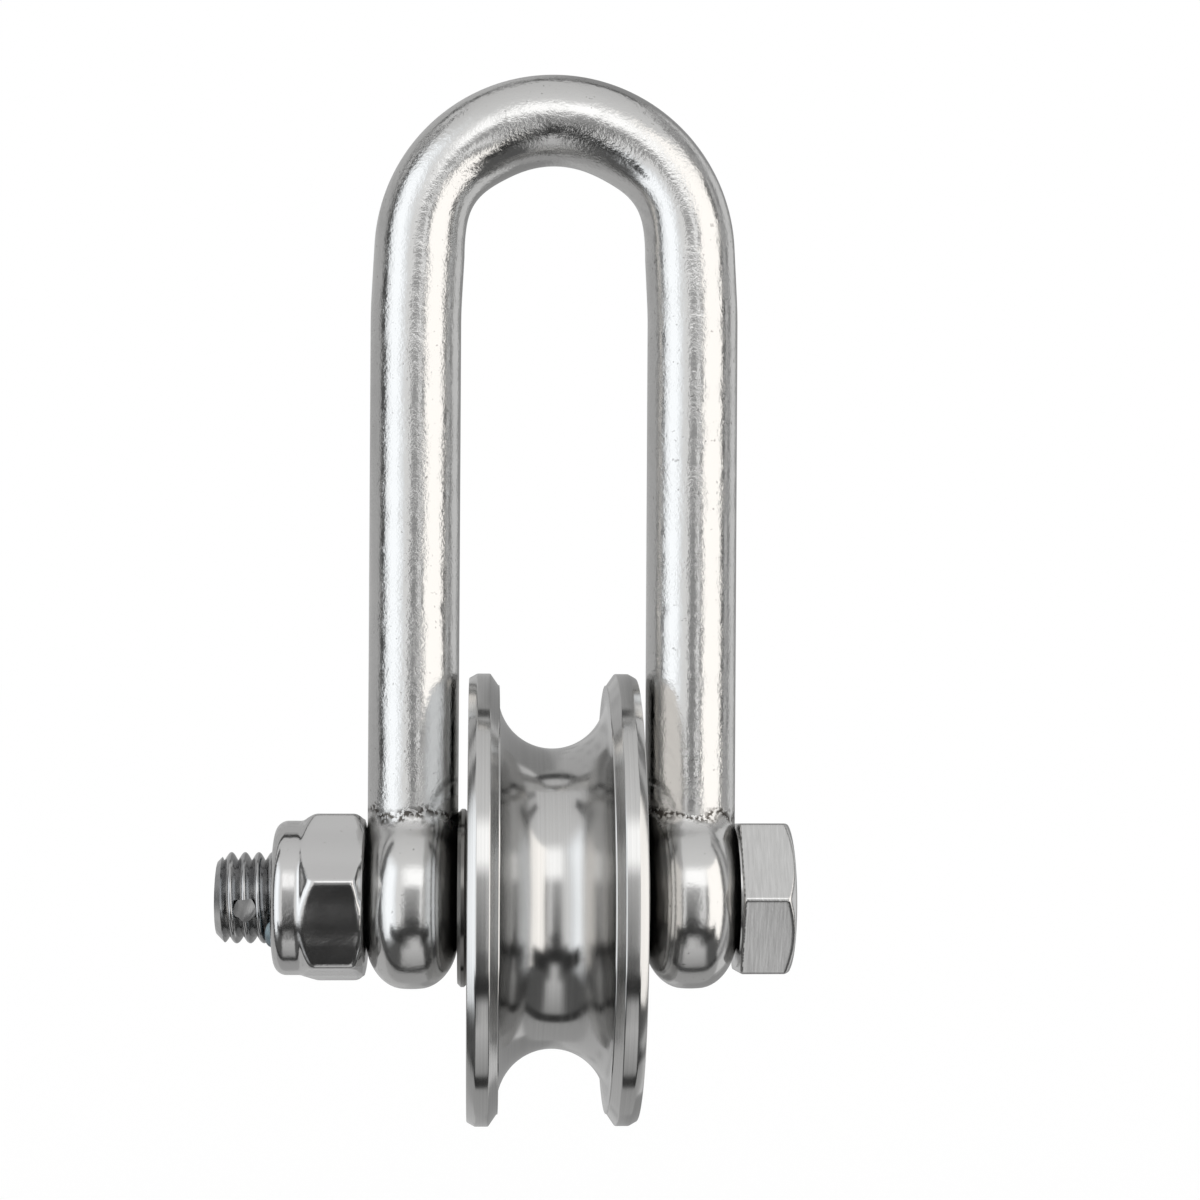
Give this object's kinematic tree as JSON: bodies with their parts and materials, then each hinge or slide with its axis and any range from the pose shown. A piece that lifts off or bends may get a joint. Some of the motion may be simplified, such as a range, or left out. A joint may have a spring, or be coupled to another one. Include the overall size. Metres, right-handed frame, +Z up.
{
  "type": "shackle pulley",
  "caption": "Long forged shackle bow with a hexagon bolt and lock nut that carry a grooved steel rope wheel on ball bearings.",
  "frame": {"origin": "on the inside of the bow's crown, where the hook or rope that carries it bears", "axes": "+Z up through the crown, away from the wheel; +X along the bolt, towards its head; -Y is the front"},
  "size_m": [0.0632, 0.0496, 0.116],
  "materials": {
    "polished_stainless_bow": "polished, with fine pits",
    "brushed_stainless_bolt": "fine brushed",
    "polished_stainless_nut": "polished",
    "nylon_insert": "matte",
    "stainless_washer": "satin",
    "turned_stainless_sheave": "satin, turned",
    "bearing_steel": "ground",
    "bearing_balls": "polished",
    "bearing_cage": "pressed",
    "bearing_shield": "pressed, satin"
  },
  "bodies": {
    "root": {"shackle_bow": "polished_stainless_bow", "hex_bolt": "brushed_stainless_bolt", "lock_nut": "polished_stainless_nut", "nut_nylon_ring": "nylon_insert", "washer_nut_side": "stainless_washer", "washer_head_side": "stainless_washer", "bearing_spacer": "bearing_steel", "bearing_nut_inner_ring": "bearing_steel", "bearing_head_inner_ring": "bearing_steel"},
    "wheel": {"sheave_wheel": "turned_stainless_sheave", "bearing_nut_outer_ring": "bearing_steel", "bearing_nut_outer_shield": "bearing_shield", "bearing_nut_inner_shield": "bearing_shield", "bearing_head_outer_ring": "bearing_steel", "bearing_head_outer_shield": "bearing_shield", "bearing_head_inner_shield": "bearing_shield"},
    "nut_side_balls": {"bearing_nut_balls": "bearing_balls", "bearing_nut_cage": "bearing_cage"},
    "head_side_balls": {"bearing_head_balls": "bearing_balls", "bearing_head_cage": "bearing_cage"}
  },
  "joints": [
    {"name": "wheel_spin", "type": "hinge", "parent": "root", "child": "wheel", "pos_m": [0, 0, -0.0812], "axis": [1, 0, 0], "continuous": true},
    {"name": "nut_side_balls_spin", "type": "hinge", "parent": "root", "child": "nut_side_balls", "pos_m": [-0.00525, 0, -0.0812], "axis": [1, 0, 0], "continuous": true},
    {"name": "head_side_balls_spin", "type": "hinge", "parent": "root", "child": "head_side_balls", "pos_m": [0.00525, 0, -0.0812], "axis": [1, 0, 0], "continuous": true}
  ],
  "couplings": [
    {"joint": "nut_side_balls_spin", "follows": "wheel_spin", "ratio": 0.6323},
    {"joint": "head_side_balls_spin", "follows": "wheel_spin", "ratio": 0.6323}
  ]
}
